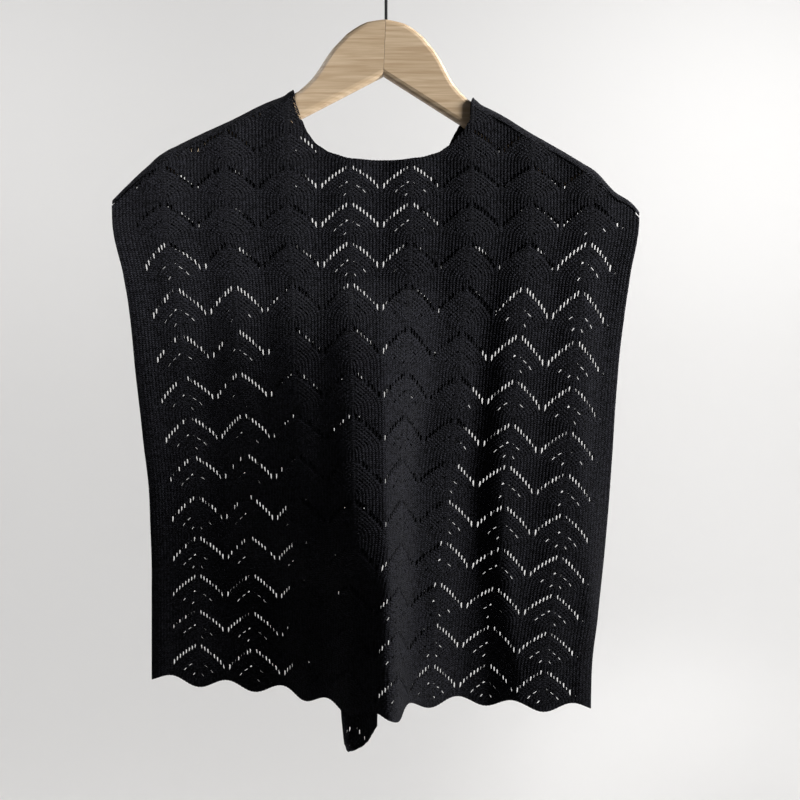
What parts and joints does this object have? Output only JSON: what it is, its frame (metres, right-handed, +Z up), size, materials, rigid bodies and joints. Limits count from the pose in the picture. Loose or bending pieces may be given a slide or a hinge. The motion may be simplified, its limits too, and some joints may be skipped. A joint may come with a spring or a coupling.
{
  "type": "knitted lace shawl-cape on a wooden garment hanger",
  "caption": "Charcoal lace-knit shawl-cape on a plain wooden hanger: broad back with scalloped hem, V neck, two fronts tapering into hanging scarf ends.",
  "frame": {"origin": "inside top of the hanger's hook, where the rail carries it", "axes": "+Z up, -Y towards the garment's broad back panel, +Y towards its V neck and scarf ends, +X to the right as seen from -Y"},
  "size_m": [0.5257, 0.1157, 0.8218],
  "materials": {
    "back_wool": "matte wool knit",
    "front_left_wool": "matte wool knit",
    "front_right_wool": "matte wool knit",
    "left_wood": "satin varnished beech",
    "right_wood": "satin varnished beech",
    "chrome": "polished"
  },
  "bodies": {
    "root": {"back_panel": "back_wool", "front_left": "front_left_wool", "front_right": "front_right_wool", "hanger_arm_left": "left_wood", "hanger_arm_right": "right_wood", "hanger_hook": "chrome"}
  },
  "joints": []
}
